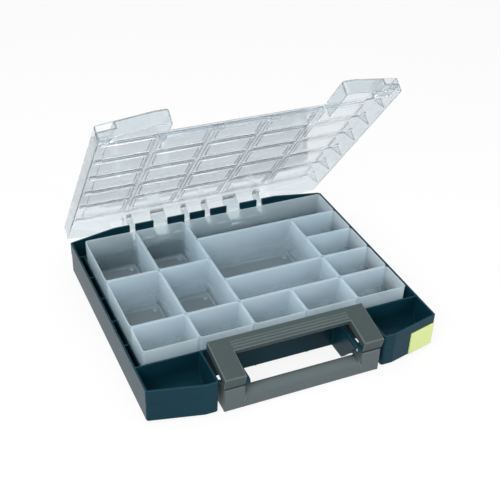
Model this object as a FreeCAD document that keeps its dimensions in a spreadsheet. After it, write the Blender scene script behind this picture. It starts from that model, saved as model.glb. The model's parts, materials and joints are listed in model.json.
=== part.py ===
"""Assortment case: a moulded tray with a hinged clear lid, a latch frame over a carrying grip,
and fifteen lift-out bins on a grid of five columns and five rows.

Millimetres, +Z up, +Y to the hinge side. The origin is on the bench, under the middle of the tray.
"""
import FreeCAD
import Part
import Sketcher
import math
import os
import re

SIZES = (
    ("pitch_x", 78.0, "bin grid along the width"),
    ("pitch_y", 54.0, "bin grid along the depth"),
    ("side_space", 15.5, "from the bin grid to each side of the case"),
    ("front_gap", 6.5, "from the partition to the bin grid"),
    ("rear_space", 43.3, "from the bin grid to the rear face, for the hinge"),
    ("recess_half", 118.8, "half the width of the handle recess"),
    ("recess_depth", 63.0, "handle recess from the front face"),
    ("front_flat", 18.2, "straight front beside the recess, before the slanted corner"),
    ("corner_set", 16.8, "slanted corner, measured along the depth"),
    ("corner_round", 4.0, "rounding of the upright outer corners"),
    ("foot_height", 2.0, "feet under the tray"),
    ("foot_length", 46.0, "foot along the width"),
    ("foot_width", 14.0, "foot along the depth"),
    ("foot_side", 60.5, "middle of a corner foot from the side"),
    ("foot_end", 72.5, "middle of a corner foot from the front or rear face"),
    ("rim_height", 53.4, "tray rim above the bench"),
    ("tray_wall", 2.2, "outer walls and partition of the tray"),
    ("tray_floor", 2.2, "floor of the tray"),
    ("tray_bevel", 1.4, "bevel round the underside of the tray"),
    ("belt_drop", 20.0, "step line of the outer wall below the rim"),
    ("belt_step", 0.6, "how far the lower wall stands back"),
    ("rear_drop", 1.5, "rear rim below the side rims, for the lid's swing"),
    ("cove_radius", 24.0, "cove along the back of each front pocket"),
    ("bin_gap", 0.8, "clearance between the rims of two bins"),
    ("bin_stand", 14.7, "bin rims above the tray rim"),
    ("bin_wall", 1.4, "bin walls"),
    ("bin_floor", 1.5, "bin floors"),
    ("bin_draft", 1.0, "draft of the bin walls, degrees"),
    ("bin_corner", 4.5, "outer radius of the bins' upright corners"),
    ("bin_headroom", 1.5, "bin rims below the bands of the shut lid"),
    ("locator_drop", 13.4, "fences and ribs that keep the bins in place, below the tray rim"),
    ("locator_wall", 2.0, "thickness of those fences and ribs"),
    ("locator_gap", 0.7, "clearance from a fence or rib to the bins' rim line"),
    ("hinge_set", 14.8, "hinge axis in front of the rear face"),
    ("hinge_drop", 23.2, "hinge axis below the tray rim"),
    ("hinge_pin", 2.5, "radius of the hinge pins"),
    ("pin_seat", 0.02, "radial clearance of a pin in the tray"),
    ("pin_run", 0.06, "radial clearance of a turning part on its pin"),
    ("lug_reach", 7.0, "hinge lug round the hinge axis"),
    ("lug_width", 5.0, "hinge lug along the axis"),
    ("arm_reach", 6.8, "lid arm round the hinge axis"),
    ("arm_narrow", 7.0, "narrow lid arm along the axis"),
    ("arm_wide", 21.0, "wide lid arm along the axis"),
    ("arm_outer_x", 108.0, "outer narrow arms from the middle"),
    ("arm_middle_x", 62.0, "wide arms from the middle"),
    ("arm_inner_x", 17.5, "inner narrow arms from the middle"),
    ("arm_side_gap", 1.0, "clearance beside a lid arm"),
    ("slot_drop", 12.4, "foot of the arm slots below the hinge axis"),
    ("lid_open", 51.8, "how far the lid stands open, degrees"),
    ("lid_gap", 0.4, "shut lid above the tray rim"),
    ("lid_wall", 2.2, "lid walls"),
    ("lid_panel", 2.0, "lid top panel"),
    ("lid_bevel", 1.6, "bevel round the lid's top face"),
    ("brow_set", 2.2, "front of the lid's low wall behind the recess wall of the tray"),
    ("brow_height", 11.6, "low wall along the lid's cut-out"),
    ("band_width", 10.0, "raised bands between the lid's panels"),
    ("band_height", 2.4, "how far the bands stand down from the panel"),
    ("groove_width", 6.0, "groove on top of each band"),
    ("trough_radius", 18.2, "rounded rear edge of the lid over the hinge"),
    ("trough_end", 5.5, "rounded rear edge past the outer arms"),
    ("gusset_reach", 12.0, "gussets from the lid's side walls"),
    ("gusset_drop", 15.0, "gussets down those walls"),
    ("gusset_wall", 2.0, "thickness of a gusset"),
    ("nest_x", 26.0, "stacking nest in each front corner, along the width"),
    ("nest_y", 34.0, "stacking nest behind the slanted corner, along the depth"),
    ("nest_depth", 9.0, "stacking nest below the lid's top"),
    ("pad_height", 2.6, "stacking pads on the lid"),
    ("pad_length", 12.0, "stacking pad along the depth"),
    ("pad_width", 6.0, "stacking pad along the width"),
    ("catch_x", 40.0, "catches on the lid's low wall from the middle"),
    ("catch_width", 16.0, "catch along the width"),
    ("catch_height", 4.0, "catch, bottom to top"),
    ("catch_gap", 1.0, "shut catch behind the latch bar"),
    ("pivot_set", 1.25, "latch pivot behind the tray's front face"),
    ("pivot_drop", 10.4, "latch pivot below the tray rim"),
    ("latch_pin", 2.2, "radius of the latch pins"),
    ("latch_pin_length", 26.0, "length of a latch pin"),
    ("cheek_wall", 6.0, "thickness of the handle cheeks"),
    ("cheek_nose", 5.0, "cheek round the latch pivot"),
    ("cheek_foot", 26.0, "length of a cheek along its foot"),
    ("cheek_bend", 17.25, "bend in the lower edge of a cheek behind the latch pivot"),
    ("cheek_bend_drop", 19.5, "that bend below the latch pivot"),
    ("arm_gap", 0.4, "clearance beside a latch arm"),
    ("latch_side_gap", 4.6, "latch frame from each side of the recess"),
    ("latch_thick", 12.0, "depth of the latch arms below their top face"),
    ("latch_skin", 2.6, "walls of the hollow latch frame"),
    ("latch_bevel", 1.0, "bevel round the latch frame's top face"),
    ("latch_set", 4.85, "rear edge of the latch bar in front of the recess wall"),
    ("latch_drop", 2.1, "rear edge of the latch bar below the top of the shut lid"),
    ("latch_nose", 6.35, "front edge of the latch arms ahead of the tray"),
    ("nose_rise", 14.4, "front edge of the latch arms above the latch pivot"),
    ("latch_bar", 24.2, "latch bar along the depth"),
    ("latch_bar_thick", 5.2, "depth of the latch bar below its top face"),
    ("barrel_radius", 4.4, "round lower end of a latch lip about its pivot"),
    ("rib_count", 3.0, "grooves along the latch bar"),
    ("rib_pitch", 4.6, "grooves along the latch bar, spacing"),
    ("rib_width", 1.6, "groove of the latch bar, width"),
    ("rib_depth", 0.9, "groove of the latch bar, depth"),
    ("grip_nose", 3.15, "front of the grip ahead of the tray"),
    ("grip_bottom", 2.2, "underside of the grip above the bench"),
    ("grip_side_gap", 5.8, "end block of the grip from each side of the recess"),
    ("grip_block_depth", 23.6, "end block of the grip along the depth"),
    ("grip_block_width", 29.0, "end block along the width"),
    ("grip_top_gap", 1.0, "top of the end blocks below the latch lips"),
    ("grip_block_round", 2.0, "rounding of the end blocks"),
    ("grip_bar_radius", 11.5, "radius of the grip bar"),
    ("tab_end_gap", 1.3, "label tab from the outer end of the slanted corner"),
    ("tab_length", 43.6, "label tab along the slanted corner"),
    ("tab_bottom", 3.6, "foot of the label tab above the bench"),
    ("tab_drop", 13.4, "top of the label tab below the tray rim"),
    ("tab_thick", 2.2, "thickness of the label tab"),
    ("tab_seat", 1.0, "depth of its seat in the tray"),
    ("tab_gap", 0.2, "clearance round the tab in its seat"),
    ("tab_bevel", 0.6, "bevel round the tab's face"),
    ("spill", 1.0, "how far a cutting shape passes the face that it cuts"),
)
MATHS = {"sqrt", "tan", "sin", "cos"}
COLUMNS = 5
ROWS = 5

# name, first column from the left, first row from the front, columns, rows
BINS = (
    ("bin_left_front", 0, 0, 1, 1),
    ("bin_left_middle", 0, 1, 1, 2),
    ("bin_left_rear", 0, 3, 1, 2),
    ("bin_second_front", 1, 0, 1, 1),
    ("bin_second_middle", 1, 1, 1, 2),
    ("bin_second_rear", 1, 3, 1, 2),
    ("bin_third_front", 2, 0, 1, 1),
    ("bin_fourth_front", 3, 0, 1, 1),
    ("bin_wide_middle", 2, 1, 2, 1),
    ("bin_large", 2, 2, 2, 2),
    ("bin_long_rear", 2, 4, 3, 1),
    ("bin_right_front", 4, 0, 1, 1),
    ("bin_right_second", 4, 1, 1, 1),
    ("bin_right_third", 4, 2, 1, 1),
    ("bin_right_fourth", 4, 3, 1, 1),
)
HANDS = (("left", -1), ("right", 1))
UP = FreeCAD.Vector(0, 0, 1)

doc = FreeCAD.newDocument("assortment_case")
sheet = doc.addObject("Spreadsheet::Sheet", "dims")
for line, (alias, value, note) in enumerate(SIZES, start=1):
    sheet.set(f"A{line}", note)
    sheet.set(f"B{line}", str(value))
    sheet.setAlias(f"B{line}", alias)
doc.recompute()


def bind(thing, prop, text):
    """Tie a property to a formula in which every plain word is a size of the sheet."""
    def cell(word):
        return word.group(0) if word.group(0) in MATHS else "dims." + word.group(0)
    thing.setExpression(prop, re.sub(r"[a-z_][a-z_0-9]*", cell, text))


def size(alias):
    return float(sheet.get(alias))


def box(name, x, y, z):
    """A block between two formulas on each axis."""
    block = doc.addObject("Part::Box", name)
    for prop, axis, (low, high) in zip(("Length", "Width", "Height"), "xyz", (x, y, z)):
        bind(block, prop, f"({high})-({low})")
        bind(block, f"Placement.Base.{axis}", low)
    return block


def rod(name, radius, x, y, z):
    """A cylinder along the width, between the two formulas in x."""
    bar = doc.addObject("Part::Cylinder", name)
    bar.Placement.Rotation = FreeCAD.Rotation(FreeCAD.Vector(0, 1, 0), 90)
    bind(bar, "Radius", radius)
    bind(bar, "Height", f"({x[1]})-({x[0]})")
    for axis, text in zip("xyz", (x[0], y, z)):
        bind(bar, f"Placement.Base.{axis}", text)
    return bar


# How a sketch is turned for an outline in plan, in side view and in front view, the axis that it
# is pushed along, and which end of the push the sketch lies at.
VIEWS = {
    "plan": (FreeCAD.Rotation(), "z", 0),
    "side": (FreeCAD.Rotation(FreeCAD.Vector(1, 1, 1), 120), "x", 0),
    "front": (FreeCAD.Rotation(FreeCAD.Vector(1, 0, 0), 90), "y", 1),
}


def prism(name, points, low, high, view="plan"):
    """A closed outline seen in one view, pushed from low to high along that view's axis."""
    sketch = doc.addObject("Sketcher::SketchObject", name + "_outline")
    turned, axis, near = VIEWS[view]
    sketch.Placement.Rotation = turned
    count = len(points)
    step = FreeCAD.Rotation(UP, 360 / count)
    start = FreeCAD.Vector(1, 0, 0)
    for _ in points:
        end = step.multVec(start)
        sketch.addGeometry(Part.LineSegment(start, end))
        start = end
    for corner in range(count):
        sketch.addConstraint(Sketcher.Constraint("Coincident", corner, 2, (corner + 1) % count, 1))
    for corner, texts in enumerate(points):
        for kind, text in zip(("DistanceX", "DistanceY"), texts):
            number = sketch.addConstraint(Sketcher.Constraint(kind, -1, 1, corner, 1, 1.0))
            bind(sketch, f"Constraints[{number}]", text)
    bind(sketch, f"Placement.Base.{axis}", (low, high)[near])
    push = doc.addObject("Part::Extrusion", name)
    push.Base = sketch
    push.DirMode = "Normal"
    push.Solid = True
    bind(push, "LengthFwd", f"({high})-({low})")
    return push


def join(name, pieces):
    whole = doc.addObject("Part::MultiFuse", name)
    whole.Shapes = pieces
    whole.Refine = True
    return whole


def cut(name, base, tools):
    rest = doc.addObject("Part::Cut", name)
    rest.Base = base
    rest.Tool = tools[0] if len(tools) == 1 else join(name + "_tools", tools)
    rest.Refine = True
    return rest


def overlap(name, pieces):
    shared = doc.addObject("Part::MultiCommon", name)
    shared.Shapes = pieces
    return shared


def dress(kind, name, base, amount, edges):
    """A fillet or chamfer of one size on those edges of base."""
    dressed = doc.addObject(f"Part::{kind}", name)
    dressed.Base = base
    marks = {edge.hashCode() for edge in edges}
    numbered = enumerate(base.Shape.Edges, start=1)
    dressed.Edges = [(number, amount, amount) for number, edge in numbered if edge.hashCode() in marks]
    return dressed


def uprights(base):
    """The edges of base that run up, within the lean of a moulding's draft."""
    doc.recompute()
    return [e for e in base.Shape.Edges if abs(e.tangentAt(e.FirstParameter).z) > 0.9]


def border(base, way):
    """The edges round the largest face of base that looks the given way."""
    doc.recompute()
    facing = [f for f in base.Shape.Faces if f.normalAt(0, 0).dot(way) > 0.9]
    return max(facing, key=lambda f: f.Area).Edges


def mirrored(text, way):
    """A formula for x on the right-hand side, or its opposite on the left."""
    return f"({text})" if way > 0 else f"-({text})"


def span(low, high, way):
    """The two ends of a stretch in x, in rising order on either side."""
    ends = (mirrored(low, way), mirrored(high, way))
    return ends if way > 0 else ends[::-1]


def around(middle, width):
    """The two ends of a stretch of that width about its middle."""
    return f"{middle}-({width})/2", f"{middle}+({width})/2"


# The case in plan: the bin grid sets the width, and the recess, grid and hinge space the depth.
GRID_HALF = f"({COLUMNS}*pitch_x/2)"
HALF = f"({GRID_HALF}+side_space)"
DEPTH = f"(recess_depth+tray_wall+front_gap+{ROWS}*pitch_y+rear_space)"
FRONT = f"(-{DEPTH}/2)"
REAR = f"({DEPTH}/2)"
RECESS_BACK = f"({FRONT}+recess_depth)"
GRID_FRONT = f"({RECESS_BACK}+tray_wall+front_gap)"
GRID_REAR = f"({REAR}-rear_space)"
CORNER_RUN = f"({HALF}-recess_half-front_flat)"
SLANT = f"sqrt({CORNER_RUN}^2+corner_set^2)"


def column_line(number):
    return f"({number}*pitch_x-{GRID_HALF})"


def row_line(number):
    return f"({GRID_FRONT}+{number}*pitch_y)"


def edges_of(inset):
    """Half width, half depth, and where the slanted corner leaves the side and the end.
    The slanted corners stay parallel when the outline is set in by a wall."""
    side = f"({HALF}-({inset}))"
    end = f"({REAR}-({inset}))"
    side_y = f"({REAR}-corner_set-({inset})*({SLANT}-corner_set)/{CORNER_RUN})"
    end_x = f"(recess_half+front_flat-({inset})*({SLANT}-{CORNER_RUN})/corner_set)"
    return side, end, side_y, end_x


def case_outline(inset, back):
    """The case in plan, with the handle recess cut in from the front as far as back."""
    side, end, side_y, end_x = edges_of(inset)
    jamb = f"(recess_half+({inset}))"
    wall = f"{back}+({inset})"
    right = [(jamb, wall), (jamb, f"-{end}"), (end_x, f"-{end}"), (side, f"-{side_y}"),
             (side, side_y), (end_x, end)]
    left = [(f"-{x}", y) for x, y in reversed(right)]
    return right + left


def slanted(along, out):
    """A point on the right front corner: along its face from the outer end, and out from it."""
    x = f"{HALF}-(({along})*{CORNER_RUN}-({out})*corner_set)/{SLANT}"
    y = f"{FRONT}+corner_set-(({along})*corner_set+({out})*{CORNER_RUN})/{SLANT}"
    return x, y


# Tray walls: two levels with a step line between, a bin bay, and two front pockets with a cove.
FLOOR = "(foot_height+tray_floor)"
BIN_RIM = "(rim_height+bin_stand)"
HINGE_Z = "(rim_height-hinge_drop)"
PIVOT_Z = "(rim_height-pivot_drop)"
BELT = "rim_height-belt_drop"
OVER_RIM = "rim_height+spill"
WALL_INSET = "(tray_wall+belt_step)"
lower = prism("tray_lower_block", case_outline("belt_step", RECESS_BACK), "foot_height", BELT)
upper = prism("tray_upper_block", case_outline("0", RECESS_BACK), BELT, "rim_height")
lower = dress("Fillet", "tray_lower_round", lower, size("corner_round"), uprights(lower))
upper = dress("Fillet", "tray_upper", upper, size("corner_round"), uprights(upper))
lower = dress("Chamfer", "tray_lower", lower, size("tray_bevel"), border(lower, -UP))

side, end, side_y, end_x = edges_of(WALL_INSET)
BAY_FRONT = f"({RECESS_BACK}+tray_wall)"
hollows = [prism("bay_space", [
    (f"-{side}", BAY_FRONT), (side, BAY_FRONT), (side, side_y), (end_x, end),
    (f"-{end_x}", end), (f"-{side}", side_y),
], FLOOR, OVER_RIM)]
for hand, way in HANDS:
    jamb = f"recess_half+{WALL_INSET}"
    plan = [(jamb, RECESS_BACK), (jamb, f"-{end}"), (end_x, f"-{end}"), (side, f"-{side_y}"),
            (side, RECESS_BACK)]
    room = prism(f"pocket_{hand}", [(mirrored(x, way), y) for x, y in plan], FLOOR, OVER_RIM)
    reach = span("recess_half", HALF, way)
    cove_y = f"{RECESS_BACK}-cove_radius"
    cove_z = f"{FLOOR}+cove_radius"
    corner = box(f"cove_block_{hand}", reach, (cove_y, f"{RECESS_BACK}+spill"), (f"{FLOOR}-spill", cove_z))
    cove = cut(f"cove_{hand}", corner, [rod(f"cove_round_{hand}", "cove_radius", reach, cove_y, cove_z)])
    hollows.append(cut(f"pocket_space_{hand}", room, [cove]))
hollows.append(box("rear_step", (f"-{HALF}-spill", f"{HALF}+spill"),
                   (f"{REAR}-corner_set-2*tray_wall", f"{REAR}+spill"), ("rim_height-rear_drop", OVER_RIM)))

# Hinge half on the tray: a slot in the rear wall for each lid arm, and a lug on either side of it.
HINGE_Y = f"({REAR}-hinge_set)"
SLOT_Y = (f"{REAR}-{WALL_INSET}-spill", f"{REAR}+spill")
ARMS = (
    ("outer", "arm_outer_x", "arm_narrow"),
    ("middle", "arm_middle_x", "arm_wide"),
    ("inner", "arm_inner_x", "arm_narrow"),
)
LUG_OUTLINE = [
    (f"{HINGE_Y}-lug_reach", f"{FLOOR}-spill"),
    (f"{REAR}-tray_wall", f"{FLOOR}-spill"),
    (f"{REAR}-tray_wall", f"{HINGE_Z}+lug_reach"),
    (f"{HINGE_Y}-lug_reach/2", f"{HINGE_Z}+lug_reach"),
    (f"{HINGE_Y}-lug_reach", f"{HINGE_Z}+lug_reach/2"),
]
lugs = []
for hand, way in HANDS:
    for place, middle, width in ARMS:
        near, far = around(middle, f"{width}+2*arm_side_gap")
        hollows.append(box(f"slot_{place}_{hand}", span(near, far, way), SLOT_Y,
                           (f"{HINGE_Z}-slot_drop", OVER_RIM)))
        for edge, ends in (("near", (f"{near}-lug_width", near)), ("far", (far, f"{far}+lug_width"))):
            lugs.append(prism(f"lug_{place}_{edge}_{hand}", LUG_OUTLINE, *span(*ends, way), view="side"))

# Low fences at the sides and the rear, with ribs behind them, that keep the bins from sliding in the bay.
RIB_Z = ("foot_height", "rim_height-locator_drop")
BAY_START = f"{RECESS_BACK}+tray_wall/2"
FENCE_REAR = f"{GRID_REAR}+locator_gap+locator_wall"
locators = [box("bay_fence", (f"-{HALF}+tray_wall", f"{HALF}-tray_wall"),
                (f"{GRID_REAR}+locator_gap", FENCE_REAR), RIB_Z)]
for hand, way in HANDS:
    fence_x = span(f"{GRID_HALF}+locator_gap", f"{GRID_HALF}+locator_gap+locator_wall", way)
    locators.append(box(f"side_fence_{hand}", fence_x, (BAY_START, FENCE_REAR), RIB_Z))
for line in range(1, ROWS):
    rib_y = around(row_line(line), "locator_wall")
    for hand, way in HANDS:
        rib_x = span(f"{GRID_HALF}+locator_gap", f"{HALF}-tray_wall", way)
        locators.append(box(f"side_rib_{line}_{hand}", rib_x, rib_y, RIB_Z))
for line in range(1, COLUMNS):
    locators.append(box(f"front_rib_{line}", around(column_line(line), "locator_wall"),
                        (BAY_START, f"{GRID_FRONT}-locator_gap"), RIB_Z))

# Feet: one near each corner and one under the middle of the floor.
foot_x = f"({HALF}-foot_side)"
foot_y = f"({REAR}-foot_end)"
feet = []
for place, x, y in (("middle", "0", "0"), ("front_left", f"-{foot_x}", f"-{foot_y}"),
                    ("front_right", foot_x, f"-{foot_y}"), ("rear_left", f"-{foot_x}", foot_y),
                    ("rear_right", foot_x, foot_y)):
    feet.append(box(f"foot_{place}", around(x, "foot_length"), around(y, "foot_width"),
                    ("0", "foot_height+tray_floor/2")))

# Two cheeks reach forward in the recess; the grip sits on them and the latch turns on their noses.
PIVOT_Y = f"({FRONT}+pivot_set)"
GRIP_OUTER = "(recess_half-grip_side_gap)"
CHEEK_OUTER = f"({GRIP_OUTER}-grip_block_width)"
CHEEK_INNER = f"({CHEEK_OUTER}-cheek_wall)"
CHEEK_OUTLINE = [
    (f"{RECESS_BACK}+tray_wall/2", "foot_height"),
    (f"{RECESS_BACK}+tray_wall/2", f"{PIVOT_Z}+cheek_nose"),
    (PIVOT_Y, f"{PIVOT_Z}+cheek_nose"),
    (PIVOT_Y, f"{PIVOT_Z}-cheek_nose"),
    (f"{PIVOT_Y}+cheek_bend", f"{PIVOT_Z}-cheek_bend_drop"),
    (f"{RECESS_BACK}-cheek_foot", "foot_height"),
]
HINGE_REACH = (
    "arm_inner_x-arm_narrow/2-arm_side_gap-lug_width",
    "arm_outer_x+arm_narrow/2+arm_side_gap+lug_width",
)
cheeks = []
bores = []
for hand, way in HANDS:
    ends = span(CHEEK_INNER, CHEEK_OUTER, way)
    cheeks.append(prism(f"cheek_{hand}", CHEEK_OUTLINE, *ends, view="side"))
    cheeks.append(rod(f"cheek_nose_{hand}", "cheek_nose", ends, PIVOT_Y, PIVOT_Z))
    through = span(f"{CHEEK_INNER}-spill", f"{CHEEK_OUTER}+spill", way)
    bores.append(rod(f"latch_bore_{hand}", "latch_pin+pin_seat", through, PIVOT_Y, PIVOT_Z))
    through = span(*HINGE_REACH, way)
    bores.append(rod(f"hinge_bore_{hand}", "hinge_pin+pin_seat", through, HINGE_Y, HINGE_Z))

# Label tab in a shallow seat on the right front corner.
TAB_FAR = "tab_end_gap+tab_length"
TAB_TOP = "rim_height-tab_drop"


def tab_block(name, gap, out):
    """The tab with a gap all round its edge, from the foot of its seat to a distance out."""
    plan = [slanted(f"tab_end_gap-{gap}", "-tab_seat"), slanted(f"tab_end_gap-{gap}", out),
            slanted(f"{TAB_FAR}+{gap}", out), slanted(f"{TAB_FAR}+{gap}", "-tab_seat")]
    return prism(name, plan, f"tab_bottom-{gap}", f"{TAB_TOP}+{gap}")


tray_walls = cut("tray_walls", join("tray_shell", [lower, upper]), hollows)
tray_body = join("tray_body", [tray_walls] + lugs + locators + feet + cheeks)
tray = cut("tray", tray_body, bores + [tab_block("tab_seat_space", "tab_gap", "tab_thick")])
tab = tab_block("tab_block", "0", "tab_thick-tab_seat")
label_tab = dress("Chamfer", "label_tab", tab, size("tab_bevel"), border(tab, FreeCAD.Vector(0, -1, 0)))

# Hinge pins, pushed through the lugs of each half of the hinge.
hinge_pins = [rod(f"hinge_pin_{hand}", "hinge_pin", span(*HINGE_REACH, way), HINGE_Y, HINGE_Z)
              for hand, way in HANDS]

# Lid, drawn shut: a shallow clear shell, bevelled round its top, with a low wall over the handle.
LID_RIM = "(rim_height+lid_gap)"
LID_UNDER = f"({BIN_RIM}+bin_headroom+band_height)"
LID_TOP = f"({LID_UNDER}+lid_panel)"
OVER_LID = f"{LID_TOP}+spill"
IN_PANEL = f"{LID_UNDER}+lid_panel/2"
LID_BACK = f"({RECESS_BACK}+brow_set)"
lid_block = prism("lid_block", case_outline("0", LID_BACK), LID_RIM, LID_TOP)
lid_round = dress("Fillet", "lid_round", lid_block, size("corner_round"), uprights(lid_block))
lid_cap = dress("Chamfer", "lid_cap", lid_round, size("lid_bevel"), border(lid_round, UP))
lid_space = prism("lid_space", case_outline("lid_wall", LID_BACK), f"{LID_RIM}-spill", LID_UNDER)
BROW_FOOT = f"{LID_TOP}-brow_height"
brow_space = box("brow_space", ("-recess_half", "recess_half"),
                 (f"{LID_BACK}-spill", f"{LID_BACK}+lid_wall+spill"), (f"{LID_RIM}-spill", BROW_FOOT))

# A band under every wall line of the bin grid, with a groove above it that keeps the wall even.
BAND_Z = (f"{LID_UNDER}-band_height", IN_PANEL)
GROOVE_Z = (f"{LID_TOP}-band_height", OVER_LID)
COLUMN_BAND_Y = (f"{GRID_FRONT}-band_width/2", f"{GRID_REAR}+band_width/2")
ROW_GROOVE_X = (f"-{GRID_HALF}+band_width", f"{GRID_HALF}-band_width")
bands = []
lid_cuts = []
for line in range(1, COLUMNS):
    middle = column_line(line)
    bands.append(box(f"band_column_{line}", around(middle, "band_width"), COLUMN_BAND_Y, BAND_Z))
    groove_x = around(middle, "groove_width")
    lid_cuts.append(box(f"groove_column_{line}", groove_x, (GRID_FRONT, GRID_REAR), GROOVE_Z))
for line in range(ROWS + 1):
    middle = row_line(line)
    bands.append(box(f"band_row_{line}", (f"-{GRID_HALF}", GRID_HALF), around(middle, "band_width"), BAND_Z))
    lid_cuts.append(box(f"groove_row_{line}", ROW_GROOVE_X, around(middle, "groove_width"), GROOVE_Z))

# Gussets inside the side walls and stacking pads on top, at every row line.
fittings = []
for hand, way in HANDS:
    wall = f"{HALF}-lid_wall/2"
    face = f"{HALF}-lid_wall"
    tip = f"{HALF}-lid_wall-gusset_reach"
    gusset = [(wall, IN_PANEL), (wall, f"{LID_UNDER}-gusset_drop"), (face, f"{LID_UNDER}-gusset_drop"),
              (tip, LID_UNDER), (tip, IN_PANEL)]
    outline = [(mirrored(x, way), z) for x, z in gusset]
    for line in range(ROWS + 1):
        middle = row_line(line)
        ends = around(middle, "gusset_wall")
        fittings.append(prism(f"gusset_{line}_{hand}", outline, *ends, view="front"))
        fittings.append(box(f"pad_{line}_{hand}", span(f"{face}-pad_width", face, way),
                            around(middle, "pad_length"), (IN_PANEL, f"{LID_TOP}+pad_height")))

# Stacking nests: the front corners of the top are let in, and show as boxes on the inside.
NEST_END = f"{FRONT}+corner_set+nest_y"
nest_blocks = []
nest_holes = []
for hand, way in HANDS:
    nest_blocks.append(box(f"nest_block_{hand}", span(f"{HALF}-nest_x", HALF, way), (FRONT, NEST_END),
                           (f"{LID_TOP}-nest_depth-lid_panel", IN_PANEL)))
    nest_holes.append(box(f"nest_hole_{hand}", span(f"{HALF}-nest_x+lid_wall", HALF, way),
                          (FRONT, f"{NEST_END}-lid_wall"), (f"{LID_TOP}-nest_depth", OVER_LID)))
nest_limit = prism("nest_limit", case_outline("lid_wall/2", LID_BACK), LID_RIM, LID_TOP)
nest_room = prism("nest_room", case_outline("lid_wall", LID_BACK), LID_RIM, f"{OVER_LID}+spill")
nests = overlap("nests", [join("nest_blocks", nest_blocks), nest_limit])
lid_cuts.append(overlap("nest_spaces", [join("nest_holes", nest_holes), nest_room]))

# The rear edge is rounded over the hinge, with a cap at each end of the rounding.
TROUGH_Y = f"({REAR}-trough_radius)"
TROUGH_Z = f"({LID_TOP}-trough_radius)"
TROUGH_HALF = "(arm_outer_x+arm_narrow/2+trough_end)"
TROUGH_X = (f"-{TROUGH_HALF}", TROUGH_HALF)
INSIDE = "trough_radius-lid_wall"
square = box("trough_square", TROUGH_X, (TROUGH_Y, f"{REAR}+spill"), (TROUGH_Z, OVER_LID))
rounding = rod("trough_round", "trough_radius", TROUGH_X, TROUGH_Y, TROUGH_Z)
trough_off = cut("trough_off", square, [rounding])
bend = cut("trough_ring", rod("trough_outer", "trough_radius", TROUGH_X, TROUGH_Y, TROUGH_Z),
           [rod("trough_inner", INSIDE, TROUGH_X, TROUGH_Y, TROUGH_Z)])
quarter = box("trough_quarter", TROUGH_X, (TROUGH_Y, REAR), (TROUGH_Z, LID_TOP))
trough = overlap("trough", [quarter, bend])
caps = []
for hand, way in HANDS:
    cap_x = span(f"{TROUGH_HALF}-lid_wall", TROUGH_HALF, way)
    plate = box(f"cap_plate_{hand}", cap_x, (TROUGH_Y, f"{REAR}-lid_bevel"),
                (TROUGH_Z, f"{LID_TOP}-lid_bevel"))
    hole = rod(f"cap_round_{hand}", INSIDE, cap_x, TROUGH_Y, TROUGH_Z)
    caps.append(cut(f"trough_cap_{hand}", plate, [hole]))

# Hinge half on the lid: six arms that hang from the rounded edge to the pins.
ARM_Y = around(HINGE_Y, "2*arm_reach")
arms = []
for hand, way in HANDS:
    for place, middle, width in ARMS:
        arm_x = span(*around(middle, width), way)
        arms.append(box(f"arm_{place}_{hand}", arm_x, ARM_Y, (HINGE_Z, IN_PANEL)))
        arms.append(rod(f"arm_end_{place}_{hand}", "arm_reach", arm_x, HINGE_Y, HINGE_Z))
        bore_x = span(*around(middle, f"{width}+2*spill"), way)
        bore = rod(f"arm_bore_{place}_{hand}", "hinge_pin+pin_run", bore_x, HINGE_Y, HINGE_Z)
        lid_cuts.append(bore)
arm_set = cut("arm_set", join("arm_blocks", arms), [trough_off])

LATCH_REAR_Y = f"({RECESS_BACK}-latch_set)"
CATCH_Y = (f"{LATCH_REAR_Y}+catch_gap", f"{LID_BACK}+lid_wall/2")
catches = [box(f"catch_{hand}", span(*around("catch_x", "catch_width"), way), CATCH_Y,
               (BROW_FOOT, f"{BROW_FOOT}+catch_height")) for hand, way in HANDS]
lid_frame = cut("lid_frame", lid_cap, [lid_space, brow_space, trough_off])
lid_body = join("lid_body", [lid_frame, trough, nests, arm_set] + bands + fittings + caps + catches)
lid = cut("lid", lid_body, lid_cuts)

# The lid stands open, turned about the hinge axis.
lid.Placement.Rotation = FreeCAD.Rotation(FreeCAD.Vector(-1, 0, 0), size("lid_open"))
bind(lid, "Placement.Rotation.Angle", "lid_open")
bind(lid, "Placement.Base.y", f"{HINGE_Y}-({HINGE_Y}*cos(lid_open)+{HINGE_Z}*sin(lid_open))")
bind(lid, "Placement.Base.z", f"{HINGE_Z}-({HINGE_Z}*cos(lid_open)-{HINGE_Y}*sin(lid_open))")

# Latch frame: a grooved bar behind, two arms, and a lip on each arm that closes over the grip.
LATCH_NOSE_Y = f"({FRONT}-latch_nose)"
LATCH_REAR_TOP = f"({LID_TOP}-latch_drop)"
LATCH_NOSE_TOP = f"({PIVOT_Z}+nose_rise)"
LATCH_FALL = f"(({LATCH_REAR_TOP}-{LATCH_NOSE_TOP})/({LATCH_REAR_Y}-{LATCH_NOSE_Y}))"
LATCH_HALF = "(recess_half-latch_side_gap)"
BAR_FRONT_Y = f"({LATCH_REAR_Y}-latch_bar)"
LIP_REAR_Y = f"({PIVOT_Y}+barrel_radius)"
ARM_INNER = f"({CHEEK_OUTER}+arm_gap)"
UNDER_REAR_Y = f"({LATCH_REAR_Y}-latch_skin)"
BETWEEN_ARMS = (f"-{ARM_INNER}", ARM_INNER)


def latch_point(y, below="0"):
    """A point of the latch frame in side view, a given depth below its sloping top face."""
    return y, f"{LATCH_REAR_TOP}-({LATCH_REAR_Y}-{y})*{LATCH_FALL}-({below})"


def latch_slab(name, rear, front, roof, foot, ends):
    """A slab between two depths, from roof to foot below the sloping top face."""
    return prism(name, [latch_point(rear, roof), latch_point(rear, foot), latch_point(front, foot),
                        latch_point(front, roof)], *ends, view="side")


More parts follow.
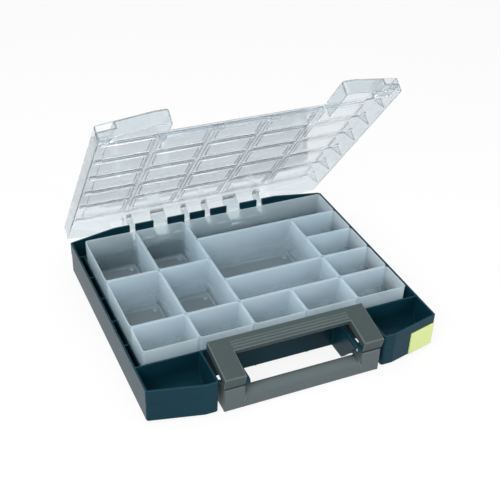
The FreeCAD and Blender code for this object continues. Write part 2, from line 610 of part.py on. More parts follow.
arm_outline = [latch_point(LATCH_REAR_Y), latch_point(LATCH_NOSE_Y),
               (f"{PIVOT_Y}-barrel_radius", PIVOT_Z), (LIP_REAR_Y, PIVOT_Z),
               latch_point(LIP_REAR_Y, "latch_thick"), latch_point(LATCH_REAR_Y, "latch_thick")]
latch_pieces = [latch_slab("latch_bar_block", LATCH_REAR_Y, BAR_FRONT_Y, "0", "latch_bar_thick",
                           (f"-{LATCH_HALF}", LATCH_HALF))]
latch_cuts = [latch_slab("latch_bar_hollow", UNDER_REAR_Y, f"({BAR_FRONT_Y}+latch_skin)",
                         "latch_skin", "latch_bar_thick+spill", BETWEEN_ARMS)]
for hand, way in HANDS:
    arm_x = span(ARM_INNER, LATCH_HALF, way)
    latch_pieces.append(prism(f"latch_arm_{hand}", arm_outline, *arm_x, view="side"))
    latch_pieces.append(rod(f"latch_barrel_{hand}", "barrel_radius", arm_x, PIVOT_Y, PIVOT_Z))
    hole_x = span(CHEEK_INNER, f"{CHEEK_INNER}+latch_pin_length+arm_gap", way)
    latch_cuts.append(rod(f"latch_pin_hole_{hand}", "latch_pin+pin_run", hole_x, PIVOT_Y, PIVOT_Z))
    hollow_x = span(f"{ARM_INNER}+latch_skin", f"{LATCH_HALF}-latch_skin", way)
    latch_cuts.append(latch_slab(f"latch_arm_hollow_{hand}", UNDER_REAR_Y, f"({LIP_REAR_Y}+latch_skin)",
                                 "latch_skin", "latch_thick+spill", hollow_x))
for line in range(1, int(size("rib_count")) + 1):
    groove_y = f"({BAR_FRONT_Y}+{line}*rib_pitch)"
    latch_cuts.append(latch_slab(f"latch_groove_{line}", f"({groove_y}+rib_width)", groove_y,
                                 "-spill", "rib_depth", BETWEEN_ARMS))
latch_body = join("latch_body", latch_pieces)
latch_soft = dress("Chamfer", "latch_soft", latch_body, size("latch_bevel"), border(latch_body, UP))
latch_frame = cut("latch_frame", latch_soft, latch_cuts)

# Latch pins, from the inside of each cheek into the arm.
latch_pins = []
for hand, way in HANDS:
    pin_x = span(CHEEK_INNER, f"{CHEEK_INNER}+latch_pin_length", way)
    latch_pins.append(rod(f"latch_pin_{hand}", "latch_pin", pin_x, PIVOT_Y, PIVOT_Z))

# Carrying grip: two end blocks against the cheeks and a bar between them, flat at the lower front.
GRIP_FRONT = f"({FRONT}-grip_nose)"
BAR_MIDDLE = f"({GRIP_FRONT}+grip_bar_radius)"
BAR_AXIS_Z = "grip_bottom+grip_bar_radius"
BLOCK_Y = (GRIP_FRONT, f"{GRIP_FRONT}+grip_block_depth")
BLOCK_Z = ("grip_bottom", f"{PIVOT_Z}-barrel_radius-grip_top_gap")
bar_reach = (f"-{CHEEK_OUTER}-spill", f"{CHEEK_OUTER}+spill")
grip_pieces = [
    rod("grip_bar", "grip_bar_radius", bar_reach, BAR_MIDDLE, BAR_AXIS_Z),
    box("grip_bar_face", bar_reach, (GRIP_FRONT, BAR_MIDDLE), ("grip_bottom", BAR_AXIS_Z)),
]
for hand, way in HANDS:
    block = box(f"grip_block_{hand}", span(CHEEK_OUTER, GRIP_OUTER, way), BLOCK_Y, BLOCK_Z)
    grip_pieces.append(dress("Fillet", f"grip_end_{hand}", block, size("grip_block_round"), uprights(block)))
handle_grip = join("handle_grip", grip_pieces)

# Bins: drafted boxes with rounded upright corners, standing on the tray floor.
ROOT_TWO = math.sqrt(2)
BIN_INNER_CORNER = (ROOT_TWO - 2) * size("bin_wall") + (2 - ROOT_TWO) * size("bin_corner")


def frustum(name, x, y, low, high, half_x, half_y):
    """A four-sided block that widens upwards; half_x and half_y give its half sizes at a height."""
    wedge = doc.addObject("Part::Wedge", name)
    wedge.Placement.Rotation = FreeCAD.Rotation(FreeCAD.Vector(1, 0, 0), 90)
    for axis, text in zip("xyz", (x, y, low)):
        bind(wedge, f"Placement.Base.{axis}", text)
    wedge.Ymin = 0
    bind(wedge, "Ymax", f"({high})-({low})")
    for end, z in (("", low), ("2", high)):
        for axis, half in (("X", half_x), ("Z", half_y)):
            bind(wedge, f"{axis}{end}max", half(z))
            bind(wedge, f"{axis}{end}min", f"-({half(z)})")
    return wedge


def make_bin(name, column, row, columns, rows):
    """One bin over a block of grid cells. The flats in its inner corners keep the wall even."""
    x = column_line(f"({column}+{columns}/2)")
    y = row_line(f"({row}+{rows}/2)")

    def half(pitch, count, inset):
        return lambda z: f"({count}*{pitch}-bin_gap)/2-({inset})-({BIN_RIM}-({z}))*tan(bin_draft)"

    outer = frustum(name + "_block", x, y, FLOOR, BIN_RIM,
                    half("pitch_x", columns, "0"), half("pitch_y", rows, "0"))
    inner = frustum(name + "_room", x, y, f"{FLOOR}+bin_floor", f"{BIN_RIM}+spill",
                    half("pitch_x", columns, "bin_wall"), half("pitch_y", rows, "bin_wall"))
    shell = dress("Fillet", name + "_shell", outer, size("bin_corner"), uprights(outer))
    space = dress("Chamfer", name + "_space", inner, BIN_INNER_CORNER, uprights(inner))
    return cut(name, shell, [space])


bins = [make_bin(*entry) for entry in BINS]

nodes = [tray, lid, latch_frame, handle_grip, label_tab] + hinge_pins + latch_pins + bins
doc.recompute()
for thing in doc.Objects:
    if {"Invalid", "Error"} & set(thing.State):
        raise RuntimeError(f"{thing.Name}: {thing.State}")
for node in nodes:
    if node.Shape.isNull() or not node.Shape.isValid() or len(node.Shape.Solids) != 1:
        raise RuntimeError(f"{node.Name}: not one sound solid")
os.makedirs("parts", exist_ok=True)
for node in nodes:
    node.Label = node.Name
    node.Shape.exportStep(f"parts/{node.Label}.step")
    print(f"{node.Label}: {node.Shape.Volume / 1000:.1f} cm3, {len(node.Shape.Faces)} faces")
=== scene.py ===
"""Studio scene of an assortment case: a dark moulded tray with a clear hinged lid held open,
frosted lift-out bins, and a grey latch frame over the carrying grip. Sizes in millimetres."""
import json
import math
import bmesh
import bpy
from mathutils import Matrix, Vector


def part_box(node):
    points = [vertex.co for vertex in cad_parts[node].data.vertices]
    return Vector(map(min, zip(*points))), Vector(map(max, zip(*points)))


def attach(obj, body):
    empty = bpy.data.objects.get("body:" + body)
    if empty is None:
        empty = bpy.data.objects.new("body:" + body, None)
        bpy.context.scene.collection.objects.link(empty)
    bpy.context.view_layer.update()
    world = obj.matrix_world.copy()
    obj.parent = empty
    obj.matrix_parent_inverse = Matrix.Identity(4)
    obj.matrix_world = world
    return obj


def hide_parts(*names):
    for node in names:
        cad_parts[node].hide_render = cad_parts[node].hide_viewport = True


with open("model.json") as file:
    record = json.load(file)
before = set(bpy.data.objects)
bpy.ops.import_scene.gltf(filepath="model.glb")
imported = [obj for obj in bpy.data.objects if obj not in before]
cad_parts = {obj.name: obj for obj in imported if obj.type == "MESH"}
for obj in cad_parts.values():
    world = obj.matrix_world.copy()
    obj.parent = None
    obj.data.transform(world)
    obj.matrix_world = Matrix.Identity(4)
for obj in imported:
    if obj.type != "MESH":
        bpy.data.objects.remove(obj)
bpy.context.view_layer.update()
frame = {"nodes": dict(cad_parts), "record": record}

MM = 0.001

# The camera stands to the left of the handle side, about 1.4 m away and 34 degrees above the bench.
# Its frame is square; the lens gives the mild perspective of a product shot from a few paces off.
view = bpy.data.cameras.new("studio_camera")
view.sensor_width = 36.0
view.lens = 67.938
view.clip_start = 0.05
view.clip_end = 50.0
camera = bpy.data.objects.new("studio_camera", view)
bpy.context.scene.collection.objects.link(camera)
turn, rise, roll = math.radians(-25.3119), math.radians(34.3784), math.radians(2.5297)
aim, shift_right, shift_up, distance = Vector((0.0, 14.25, 2.0)), 14.3673, 73.3556, 1399.2696
back = Vector((math.sin(turn) * math.cos(rise), -math.cos(turn) * math.cos(rise), math.sin(rise)))
across = Vector((0.0, 0.0, 1.0)).cross(back).normalized()
upward = back.cross(across)
right = across * math.cos(roll) + upward * math.sin(roll)
top = upward * math.cos(roll) - across * math.sin(roll)
stand = aim + right * shift_right + top * shift_up + back * distance
camera.matrix_world = Matrix.Translation(stand * MM) @ Matrix((right, top, back)).transposed().to_4x4()
bpy.context.scene.camera = camera

# Fifteen lift-out bins, injection moulded in natural polypropylene with thin drafted walls, a rounded
# rim and four low bosses in the floor. They stand loose on the tray floor, side by side.
def linear(code):
    """An sRGB hex colour as linear red, green, blue and one."""
    parts = [int(code[i:i + 2], 16) / 255 for i in (1, 3, 5)]
    return tuple(c / 12.92 if c < 0.04045 else ((c + 0.055) / 1.055) ** 2.4 for c in parts) + (1.0,)


def add(tree, kind, inputs=None, **settings):
    """One node with its settings; each input takes a constant or a link from another node's socket."""
    node = tree.nodes.new(kind)
    for name, value in settings.items():
        setattr(node, name, value)
    for key, value in (inputs or {}).items():
        if isinstance(value, bpy.types.NodeSocket):
            tree.links.new(value, node.inputs[key])
        else:
            node.inputs[key].default_value = value
    return node


def blank(name):
    """An empty material and its tree."""
    material = bpy.data.materials.new(name)
    material.use_nodes = True
    material.node_tree.nodes.clear()
    return material, material.node_tree


def place(name, mesh, materials):
    """An object at the origin for a mesh that holds its own place, with the material slots given."""
    piece = bpy.data.objects.new(name, mesh)
    bpy.context.scene.collection.objects.link(piece)
    mesh.materials.clear()
    for material in materials:
        mesh.materials.append(material)
    return piece


# Natural polypropylene scatters light within the wall: a milky wall that the dark tray shows through. On top
# of that milkiness
# a glow is painted in: the rim, the foot and the floor fillets are painted paler and denser, standing in for
# the light they gather.
frosted, tree = blank("frosted_polypropylene")
cloud_size, grain_size, grain_depth = 22 * MM, 0.9 * MM, 0.2 * MM
spot = add(tree, "ShaderNodeTexCoord").outputs["Object"]
# The milkiness attribute is partly painted glow: it makes the rim, foot, fillets and upper wall paler and
# less see-through.
milk_and_glow = add(tree, "ShaderNodeAttribute", attribute_name="milk_and_painted_glow").outputs["Fac"]
flow = add(tree, "ShaderNodeTexNoise", {"Vector": spot, "Scale": 1 / cloud_size, "Detail": 3.0})
cloud = flow.outputs["Fac"]
milky = add(tree, "ShaderNodeMix", {0: cloud, 6: linear("#d6e8f0"), 7: linear("#dfeef5")}, data_type="RGBA")
milk_paled_by_glow = add(tree, "ShaderNodeMix", {0: milk_and_glow, 6: milky.outputs[2], 7: linear("#e8f2f8")}, data_type="RGBA")
cover = add(tree, "ShaderNodeMapRange", {"Value": milk_and_glow, "To Min": 0.23, "To Max": 0.80}).outputs[0]
grain = add(tree, "ShaderNodeTexNoise", {"Vector": spot, "Scale": 1 / grain_size, "Detail": 2.0})
gloss = add(tree, "ShaderNodeMapRange", {"Value": cloud, "To Min": 0.32, "To Max": 0.44}).outputs[0]
relief = add(tree, "ShaderNodeBump", {
    "Height": grain.outputs["Fac"], "Strength": 0.06, "Distance": grain_depth})
face = add(tree, "ShaderNodeBsdfPrincipled", {
    "Base Color": milk_paled_by_glow.outputs[2], "Roughness": gloss, "Normal": relief.outputs[0], "IOR": 1.49,
    "Specular IOR Level": 0.3})
glow = add(tree, "ShaderNodeBsdfTranslucent", {"Color": milk_paled_by_glow.outputs[2]})
milk = add(tree, "ShaderNodeMixShader", {0: 0.5, 1: face.outputs[0], 2: glow.outputs[0]})
open_air = add(tree, "ShaderNodeBsdfTransparent", {"Color": (1.0, 1.0, 1.0, 1.0)})
wall = add(tree, "ShaderNodeMixShader", {0: cover, 1: open_air.outputs[0], 2: milk.outputs[0]})
add(tree, "ShaderNodeOutputMaterial", {"Surface": wall.outputs[0]})

ARC_STEPS = 6


def outline(mesh, middle, half, radius, z):
    """A ring of points round a rectangle with rounded corners, at one height."""
    radius = min(radius, half.x, half.y)
    ring = []
    for quarter in range(4):
        sign = Vector(((1, -1, -1, 1)[quarter], (1, 1, -1, -1)[quarter]))
        core = Vector((middle.x + sign.x * (half.x - radius), middle.y + sign.y * (half.y - radius)))
        for step in range(ARC_STEPS + 1):
            angle = math.pi / 2 * (quarter + step / ARC_STEPS)
            point = core + Vector((radius * math.cos(angle), radius * math.sin(angle)))
            ring.append(mesh.verts.new((point.x, point.y, z)))
    return ring


def skin(mesh, rings):
    """Faces between one ring of points and the next, with the first and the last ring closed."""
    count = len(rings[0])
    for low, high in zip(rings, rings[1:]):
        for i in range(count):
            j = (i + 1) % count
            mesh.faces.new((low[i], low[j], high[j], high[i]))
    mesh.faces.new(reversed(rings[0]))
    mesh.faces.new(rings[-1])


def node_tree(name, inputs):
    """A geometry node tree with the named inputs, its two end nodes and a shape going through."""
    tree = bpy.data.node_groups.new(name, "GeometryNodeTree")
    tree.interface.new_socket("Geometry", in_out="OUTPUT", socket_type="NodeSocketGeometry")
    tree.interface.new_socket("Geometry", in_out="INPUT", socket_type="NodeSocketGeometry")
    for title, kind in inputs.items():
        tree.interface.new_socket(title, in_out="INPUT", socket_type="NodeSocket" + kind)
    return tree, add(tree, "NodeGroupInput").outputs, add(tree, "NodeGroupOutput").inputs[0]


def grow(piece, tree, values):
    """Runs a geometry node tree on a piece with the values given, and keeps the result as its mesh."""
    grown = piece.modifiers.new(tree.name, "NODES")
    grown.node_group = tree
    for item in tree.interface.items_tree:
        if item.in_out == "INPUT" and item.name in values:
            grown[item.identifier] = values[item.name]
    depsgraph = bpy.context.evaluated_depsgraph_get()
    mesh = bpy.data.meshes.new_from_object(piece.evaluated_get(depsgraph))
    piece.modifiers.clear()
    piece.data = mesh


# Low bosses over the pegs of the mould, one near each corner of a bin's floor.
floor_bosses, given, result = node_tree("floor_bosses", {
    "Across": "Float", "Along": "Float", "Foot Radius": "Float", "Top Radius": "Float", "Height": "Float",
    "Milk And Painted Glow": "Float", "Middle": "Vector", "Material": "Material"})
corners = add(floor_bosses, "GeometryNodeMeshGrid", {
    "Size X": given["Across"], "Size Y": given["Along"], "Vertices X": 2, "Vertices Y": 2})
boss = add(floor_bosses, "GeometryNodeMeshCone", {
    "Vertices": 20, "Radius Top": given["Top Radius"], "Radius Bottom": given["Foot Radius"],
    "Depth": given["Height"]})
bosses = add(floor_bosses, "GeometryNodeInstanceOnPoints", {
    "Points": corners.outputs[0], "Instance": boss.outputs[0]})
moved = add(floor_bosses, "GeometryNodeTransform", {
    "Geometry": bosses.outputs[0], "Translation": given["Middle"]})
real = add(floor_bosses, "GeometryNodeRealizeInstances", {"Geometry": moved.outputs[0]})
marked = add(floor_bosses, "GeometryNodeStoreNamedAttribute", {
    "Geometry": real.outputs[0], "Name": "milk_and_painted_glow", "Value": given["Milk And Painted Glow"]},
    data_type="FLOAT", domain="POINT")
finished = add(floor_bosses, "GeometryNodeSetMaterial", {
    "Geometry": marked.outputs[0], "Material": given["Material"]})
both = add(floor_bosses, "GeometryNodeJoinGeometry", {0: finished.outputs[0]})
floor_bosses.links.new(given["Geometry"], both.inputs[0])
floor_bosses.links.new(both.outputs[0], result)

BIN_WALL, BIN_FLOOR, BIN_DRAFT = 1.4 * MM, 1.5 * MM, math.tan(math.radians(1.0))
BIN_CORNER, LEAST_CORNER, SHARP = 4.5 * MM, 0.6 * MM, math.radians(50)
BOSS_FOOT, BOSS_TOP, BOSS_HEIGHT, BOSS_SUNK = 3.5 * MM, 2.6 * MM, 1.5 * MM, 0.1 * MM
BOSS_FROM_SIDE, BOSS_FROM_END = 10 * MM, 9.5 * MM
# How far in from the wall line and how high above the foot, below the rim or above the floor each ring
# lies, in millimetres, from the underside over the rim to the floor.
FOOT_ROUND = ((1.6, 0.0), (0.8, 0.21), (0.21, 0.8), (0.0, 1.6))
RIM_ROUND = ((0.0, 0.55), (0.12, 0.15), (0.45, 0.0), (0.95, 0.0), (1.28, 0.15), (1.4, 0.55))
FLOOR_ROUND = ((0.0, 2.6), (0.25, 1.35), (1.0, 0.4), (2.6, 0.0))
# How milky the plastic is drawn in each place: its own milkiness with a painted glow. Light runs up inside a
# thin wall; that is painted in, so the wall grows milkier and paler towards the rim than at the foot. The
# wall's rows give the part of the height and the milkiness there.
FOOT_MILK_AND_GLOW, RIM_MILK_AND_GLOW, FLOOR_MILK_AND_GLOW, BOSS_MILK_AND_GLOW = 0.25, 0.5, 0.4, 0.3
WALL_MILK_AND_GLOW = ((0.12, 0.0), (0.5, 0.11), (0.75, 0.25), (0.97, 0.34))
bin_names = [name for name in frame["nodes"] if name.startswith("bin_")]
for name in bin_names:
    low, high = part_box(name)
    middle = (low + high) / 2
    reach = (high - low) / 2
    tall = high.z - low.z
    inner_floor = low.z + BIN_FLOOR
    rows = [(inset * MM, low.z + rise * MM, FOOT_MILK_AND_GLOW) for inset, rise in FOOT_ROUND]
    rows += [(0.0, low.z + tall * part, amount) for part, amount in WALL_MILK_AND_GLOW]
    rows += [(inset * MM, high.z - drop * MM, RIM_MILK_AND_GLOW) for inset, drop in RIM_ROUND]
    rows += [(BIN_WALL, low.z + tall * part, amount) for part, amount in reversed(WALL_MILK_AND_GLOW)]
    rows += [(BIN_WALL + inset * MM, inner_floor + rise * MM, FLOOR_MILK_AND_GLOW) for inset, rise in FLOOR_ROUND]
    shape = bmesh.new()
    milk_and_painted_glow = shape.verts.layers.float.new("milk_and_painted_glow")
    rings = []
    for inset, z, amount in rows:
        inward = inset + (high.z - z) * BIN_DRAFT
        half = Vector((reach.x - inward, reach.y - inward))
        ring = outline(shape, middle, half, max(BIN_CORNER - inset, LEAST_CORNER), z)
        for vert in ring:
            vert[milk_and_painted_glow] = amount
        rings.append(ring)
    skin(shape, rings)
    mesh = bpy.data.meshes.new(name + "_moulding")
    shape.to_mesh(mesh)
    shape.free()
    mesh.shade_smooth()
    mesh.set_sharp_from_angle(angle=SHARP)
    piece = place(name + "_moulding", mesh, [frosted])
    grow(piece, floor_bosses, {
        "Across": (reach.x - BOSS_FROM_SIDE) * 2, "Along": (reach.y - BOSS_FROM_END) * 2,
        "Foot Radius": BOSS_FOOT, "Top Radius": BOSS_TOP, "Height": BOSS_HEIGHT,
        "Milk And Painted Glow": BOSS_MILK_AND_GLOW, "Material": frosted,
        "Middle": (middle.x, middle.y, inner_floor - BOSS_SUNK)})
    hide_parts(name)
    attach(piece, name)

# The tray is one large injection moulding in dark petrol-blue polypropylene, with a fine spark-eroded
# texture outside and satin insides. Everything else is carried by it.
SAME_POINT, SAME_FACE, CREASE = 0.002 * MM, math.radians(0.5), math.radians(32)


def moulded(node, edge, materials):
    """A finished copy of a CAD node: facets of one face joined and each sharp edge rounded off.
    The rounded edges take the last of the materials; a lighter last material paints a highlight along them."""
    mesh = frame["nodes"][node].data.copy()
    shape = bmesh.new()
    shape.from_mesh(mesh)
    bmesh.ops.remove_doubles(shape, verts=shape.verts, dist=SAME_POINT)
    bmesh.ops.dissolve_limit(shape, angle_limit=SAME_FACE, verts=shape.verts, edges=shape.edges)
    bmesh.ops.triangulate(shape, faces=shape.faces)
    for face in shape.faces:
        face.material_index = 0
    shape.to_mesh(mesh)
    shape.free()
    mesh.shade_smooth()
    piece = place(node + "_moulding", mesh, materials)
    soft = piece.modifiers.new("rounded edges", "BEVEL")
    soft.width = edge * MM
    soft.segments = 2
    soft.limit_method = "ANGLE"
    soft.angle_limit = CREASE
    soft.use_clamp_overlap = False
    soft.material = len(materials) - 1
    flat = piece.modifiers.new("flat faces stay flat", "WEIGHTED_NORMAL")
    flat.weight = 100
    depsgraph = bpy.context.evaluated_depsgraph_get()
    done = bpy.data.meshes.new_from_object(piece.evaluated_get(depsgraph))
    piece.modifiers.clear()
    piece.data = done
    return piece


def moulded_plastic(name, deep, light, rough, texture, shine):
    """A coloured moulding plastic: slight cloudiness in the colour, uneven gloss and a fine texture
    whose grain is drawn at the given size in millimetres, as coarse as it needs to show. Shine is the
    share of the mirror gloss that the matt texture leaves."""
    material, tree = blank(name)
    spot = add(tree, "ShaderNodeTexCoord").outputs["Object"]
    cloud_size, gloss_spread, grain_depth = 60 * MM, 0.05, 0.1 * MM
    flow = add(tree, "ShaderNodeTexNoise", {"Vector": spot, "Scale": 1 / cloud_size, "Detail": 4.0})
    cloud = flow.outputs["Fac"]
    tone = add(tree, "ShaderNodeMix", {0: cloud, 6: linear(deep), 7: linear(light)}, data_type="RGBA")
    grain = add(tree, "ShaderNodeTexNoise", {"Vector": spot, "Scale": 1 / (texture * MM), "Detail": 2.0})
    gloss = add(tree, "ShaderNodeMapRange", {
        "Value": cloud, "To Min": rough - gloss_spread, "To Max": rough + gloss_spread})
    relief = add(tree, "ShaderNodeBump", {
        "Height": grain.outputs["Fac"], "Strength": 0.10, "Distance": grain_depth})
    face = add(tree, "ShaderNodeBsdfPrincipled", {
        "Base Color": tone.outputs[2], "Roughness": gloss.outputs[0], "Normal": relief.outputs[0],
        "IOR": 1.49, "Specular IOR Level": shine})
    add(tree, "ShaderNodeOutputMaterial", {"Surface": face.outputs[0]})
    return material


petrol = moulded_plastic("petrol_blue_polypropylene", "#0c2f3b", "#113743", 0.30, 0.8, 0.09)
# A lighter, shinier blue for the rounded edges: a painted highlight along every edge of the tray.
petrol_painted_highlight = moulded_plastic("petrol_blue_painted_edge_highlight", "#133a48", "#18414e", 0.30, 0.8, 0.2)
tray = moulded("tray", 0.5, [petrol, petrol_painted_highlight])
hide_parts("tray")
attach(tray, "case")

# The label tab is a small plain moulding in lime ABS with a smooth satin face. It is pressed into a
# shallow seat on the right front corner of the tray.
lime = moulded_plastic("lime_abs", "#c6d48b", "#ccd993", 0.34, 1.2, 0.3)
tab = moulded("label_tab", 0.35, [lime])
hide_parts("label_tab")
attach(tab, "case")

# Four pins cut from drawn steel wire, with fine drawing lines along them. Two sit in the hinge lugs and
# carry the lid; two sit in the cheeks and carry the latch arms.
drawn, tree = blank("drawn_steel_wire")
line_width, line_stretch = 0.3 * MM, 0.03
spot = add(tree, "ShaderNodeTexCoord").outputs["Object"]
along = add(tree, "ShaderNodeMapping", {"Vector": spot, "Scale": (line_stretch, 1.0, 1.0)}).outputs[0]
lines = add(tree, "ShaderNodeTexNoise", {"Vector": along, "Scale": 1 / line_width, "Detail": 3.0})
gloss = add(tree, "ShaderNodeMapRange", {"Value": lines.outputs["Fac"], "To Min": 0.22, "To Max": 0.4})
face = add(tree, "ShaderNodeBsdfPrincipled", {
    "Base Color": linear("#b9bcc0"), "Metallic": 1.0, "Roughness": gloss.outputs[0]})
add(tree, "ShaderNodeOutputMaterial", {"Surface": face.outputs[0]})
for node in ("hinge_pin_left", "hinge_pin_right", "latch_pin_left", "latch_pin_right"):
    pin = moulded(node, 0.3, [drawn])
    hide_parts(node)
    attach(pin, "case")

# The lid is one moulding in clear polycarbonate, about two millimetres thick, stiffened by a grid of
# bands. Six arms hang from its rounded rear edge and turn on the hinge pins.
def clear_plastic(name, tint, rough, straight):
    """Clear polycarbonate: glass-like, faintly grey, with slow waves in the moulded face. A share of the
    light goes straight through, and lamps do too, so that it throws a half shadow on the rear bins."""
    material, tree = blank(name)
    spot = add(tree, "ShaderNodeTexCoord").outputs["Object"]
    wave_size, wave_depth, gloss_spread, haziness = 35 * MM, 1.0 * MM, 0.06, 0.08
    flow = add(tree, "ShaderNodeTexNoise", {"Vector": spot, "Scale": 1 / wave_size, "Detail": 2.0})
    wave = flow.outputs["Fac"]
    gloss = add(tree, "ShaderNodeMapRange", {"Value": wave, "To Min": rough, "To Max": rough + gloss_spread})
    relief = add(tree, "ShaderNodeBump", {"Height": wave, "Strength": 0.05, "Distance": wave_depth})
    solid = add(tree, "ShaderNodeBsdfPrincipled", {
        "Base Color": linear(tint), "Roughness": gloss.outputs[0], "Transmission Weight": 1.0, "IOR": 1.58,
        "Normal": relief.outputs[0]})
    thin = add(tree, "ShaderNodeBsdfTransparent", {"Color": linear("#f1f5f6")})
    haze = add(tree, "ShaderNodeBsdfTranslucent", {"Color": linear("#e6edf1")})
    milk = add(tree, "ShaderNodeMixShader", {0: haziness, 1: thin.outputs[0], 2: haze.outputs[0]})
    soft = add(tree, "ShaderNodeMixShader", {0: straight, 1: solid.outputs[0], 2: milk.outputs[0]})
    lamp = add(tree, "ShaderNodeLightPath").outputs["Is Shadow Ray"]
    shade = add(tree, "ShaderNodeBsdfTransparent", {"Color": linear("#c0c9cd")})
    both = add(tree, "ShaderNodeMixShader", {0: lamp, 1: soft.outputs[0], 2: shade.outputs[0]})
    add(tree, "ShaderNodeOutputMaterial", {"Surface": both.outputs[0]})
    return material


clear = clear_plastic("clear_polycarbonate", "#e8eff3", 0.02, 0.12)
# A paler, rougher clear for the rounded edges and the cell lips: a painted highlight along them.
clear_painted_highlight = clear_plastic("clear_polycarbonate_painted_highlight", "#f6f9fa", 0.06, 0.12)
clear_arm = clear_plastic("clear_polycarbonate_arm", "#d5dee2", 0.03, 0.75)
lid = moulded("lid", 0.35, [clear, clear_painted_highlight])
# The hinge arms are solid blocks, and what lies behind them shows straight through. Their faces are
# found by their place above the hinge axis when the lid is turned back to shut.
ARM_HALF, ARM_TOP = 7.2 * MM, 36.0 * MM
hinge = next(joint for joint in frame["record"]["behaviour"]["joints"] if joint["name"] == "lid_hinge")
lean = math.radians(hinge["range_deg"][0])
axis = Vector(hinge["pos_m"])
lid.data.materials.append(clear_arm)
for face in lid.data.polygons:
    shut = Matrix.Rotation(-lean, 3, "X") @ (face.center - axis)
    if abs(shut.y) < ARM_HALF and shut.z < ARM_TOP:
        face.material_index = len(lid.data.materials) - 1
# A low rounded lip round each cell of the lid's underside, over the middle of a bin.
cell_lips, given, result = node_tree("cell_lips", {
    "Cell Width": "Float", "Cell Depth": "Float", "Cells Across": "Int", "Cells Along": "Int",
    "Lip Width": "Float", "Lip Depth": "Float", "Corner": "Float", "Thickness": "Float", "Height": "Float",
    "Middle": "Vector", "Lean": "Vector", "Material": "Material"})


def spread(step, count):
    """The distance from the first to the last of a row of points, from their spacing and number."""
    steps = add(cell_lips, "ShaderNodeMath", {0: count, 1: 1.0}, operation="SUBTRACT").outputs[0]
    return add(cell_lips, "ShaderNodeMath", {0: step, 1: steps}, operation="MULTIPLY").outputs[0]


cells = add(cell_lips, "GeometryNodeMeshGrid", {
    "Size X": spread(given["Cell Width"], given["Cells Across"]), "Vertices X": given["Cells Across"],
    "Size Y": spread(given["Cell Depth"], given["Cells Along"]), "Vertices Y": given["Cells Along"]})
line = add(cell_lips, "GeometryNodeCurvePrimitiveQuadrilateral", {
    "Width": given["Lip Width"], "Height": given["Lip Depth"]})
rounded = add(cell_lips, "GeometryNodeFilletCurve", {
    "Curve": line.outputs[0], "Radius": given["Corner"], "Count": 6}, mode="POLY")
section = add(cell_lips, "GeometryNodeCurvePrimitiveQuadrilateral", {
    "Width": given["Thickness"], "Height": given["Height"]})
lip = add(cell_lips, "GeometryNodeCurveToMesh", {
    "Curve": rounded.outputs[0], "Profile Curve": section.outputs[0]})
lips = add(cell_lips, "GeometryNodeInstanceOnPoints", {
    "Points": cells.outputs[0], "Instance": lip.outputs[0]})
turned = add(cell_lips, "GeometryNodeTransform", {
    "Geometry": lips.outputs[0], "Translation": given["Middle"], "Rotation": given["Lean"]})
real = add(cell_lips, "GeometryNodeRealizeInstances", {"Geometry": turned.outputs[0]})
finished = add(cell_lips, "GeometryNodeSetMaterial", {
    "Geometry": real.outputs[0], "Material": given["Material"]})
both = add(cell_lips, "GeometryNodeJoinGeometry", {0: finished.outputs[0]})
cell_lips.links.new(given["Geometry"], both.inputs[0])
cell_lips.links.new(both.outputs[0], result)
# The lid stands open: the lips are set out under the shut lid and turned up about the hinge with it.
GRID_MIDDLE = Vector((0.0, 14.2 * MM, 71.3 * MM))
stands_at = axis + Matrix.Rotation(lean, 3, "X") @ (GRID_MIDDLE - axis)
grow(lid, cell_lips, {
    "Cell Width": 78.0 * MM, "Cell Depth": 54.0 * MM, "Cells Across": 5, "Cells Along": 5,
    "Lip Width": 61.0 * MM, "Lip Depth": 37.0 * MM, "Corner": 5.0 * MM, "Thickness": 1.0 * MM,
    "Height": 1.5 * MM,
    "Middle": tuple(stands_at), "Lean": (lean, 0.0, 0.0), "Material": clear_painted_highlight})
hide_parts("lid")
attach(lid, "lid")

# The latch frame and the carrying grip are stiff grey mouldings with a fine matt texture. The grip is
# fixed between the cheeks of the tray; the latch turns on its pins and closes over the lid.
latch_grey = moulded_plastic("latch_grey_abs", "#394445", "#404b4c", 0.46, 0.9, 0.2)
# The lighter edge greys go on the rounded edges of the latch and the grip: a painted highlight along them.
latch_painted_highlight = moulded_plastic("latch_grey_abs_painted_highlight", "#525d5e", "#5a6566", 0.42, 0.9, 0.3)
# The grip's grey is lighter than the latch's as painted light: its faces turn to the lamps more.
grip_grey_painted_lit = moulded_plastic("grip_grey_abs_painted_lit", "#4e595b", "#555f61", 0.46, 0.9, 0.25)
grip_painted_highlight = moulded_plastic("grip_grey_abs_painted_highlight", "#616c6e", "#697476", 0.42, 0.9, 0.3)
for node, body, edge, finish in (("latch_frame", "latch", 0.6, [latch_grey, latch_painted_highlight]),
                                 ("handle_grip", "case", 0.8, [grip_grey_painted_lit, grip_painted_highlight])):
    piece = moulded(node, edge, finish)
    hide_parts(node)
    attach(piece, body)

# Studio: a white sweep that stays white to the lens and keeps a faint shadow, one broad soft light
# from above, a strong one from the left of the camera and a weaker one from the right.
def background_rays(tree):
    """One for a ray that shows the lens the background, straight on, mirrored or through clear plastic."""
    path = add(tree, "ShaderNodeLightPath").outputs
    direct = add(tree, "ShaderNodeMath", {
        0: path["Is Camera Ray"], 1: path["Is Glossy Ray"]}, operation="MAXIMUM")
    through = {0: direct.outputs[0], 1: path["Is Transmission Ray"]}
    return add(tree, "ShaderNodeMath", through, operation="MAXIMUM").outputs[0]


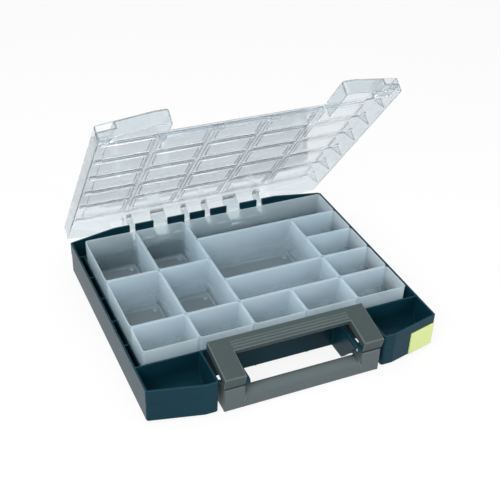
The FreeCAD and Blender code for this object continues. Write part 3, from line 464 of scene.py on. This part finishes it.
paper, tree = blank("white_studio_paper")
WHITE = (1.0, 1.0, 1.0, 1.0)
FLOOR_GLOW, FLOOR_REACH, ROOM_LIGHT, ROOM_SEEN = 0.86, 6.0, 0.45, 1.0
shown = {0: background_rays(tree), 1: FLOOR_GLOW}
share = add(tree, "ShaderNodeMath", shown, operation="MULTIPLY").outputs[0]
matt = add(tree, "ShaderNodeBsdfDiffuse", {"Color": linear("#f4f4f4")})
glow = add(tree, "ShaderNodeEmission", {"Color": WHITE, "Strength": 1.0})
both = add(tree, "ShaderNodeMixShader", {0: share, 1: matt.outputs[0], 2: glow.outputs[0]})
add(tree, "ShaderNodeOutputMaterial", {"Surface": both.outputs[0]})
sweep = bmesh.new()
bmesh.ops.create_grid(sweep, x_segments=8, y_segments=8, size=FLOOR_REACH)
mesh = bpy.data.meshes.new("studio_floor")
sweep.to_mesh(mesh)
sweep.free()
floor = place("studio_floor", mesh, [paper])

sky = bpy.data.worlds.new("studio_room")
sky.use_nodes = True
sky.node_tree.nodes.clear()
seen = background_rays(sky.node_tree)
level = add(sky.node_tree, "ShaderNodeMapRange", {
    "Value": seen, "To Min": ROOM_LIGHT, "To Max": ROOM_SEEN})
room = add(sky.node_tree, "ShaderNodeBackground", {"Color": WHITE, "Strength": level.outputs[0]})
add(sky.node_tree, "ShaderNodeOutputWorld", {"Surface": room.outputs[0]})
bpy.context.scene.world = sky
lit_point = Vector((0.0, 0.0, 0.05))
for name, place_at, power, width in (
        ("overhead_softbox", (-0.2, 0.1, 1.9), 16.0, 1.6),
        ("left_softbox", (-1.5, -1.2, 1.5), 29.0, 1.2),
        ("right_softbox", (1.6, -1.4, 0.7), 17.0, 1.0)):
    lamp = bpy.data.lights.new(name, "AREA")
    lamp.shape = "SQUARE"
    lamp.size = width
    lamp.energy = power
    box = bpy.data.objects.new(name, lamp)
    bpy.context.scene.collection.objects.link(box)
    away = Vector(place_at) - lit_point
    box.matrix_world = Matrix.Translation(place_at) @ away.to_track_quat("Z", "Y").to_matrix().to_4x4()
bpy.context.scene.view_settings.view_transform = "Standard"
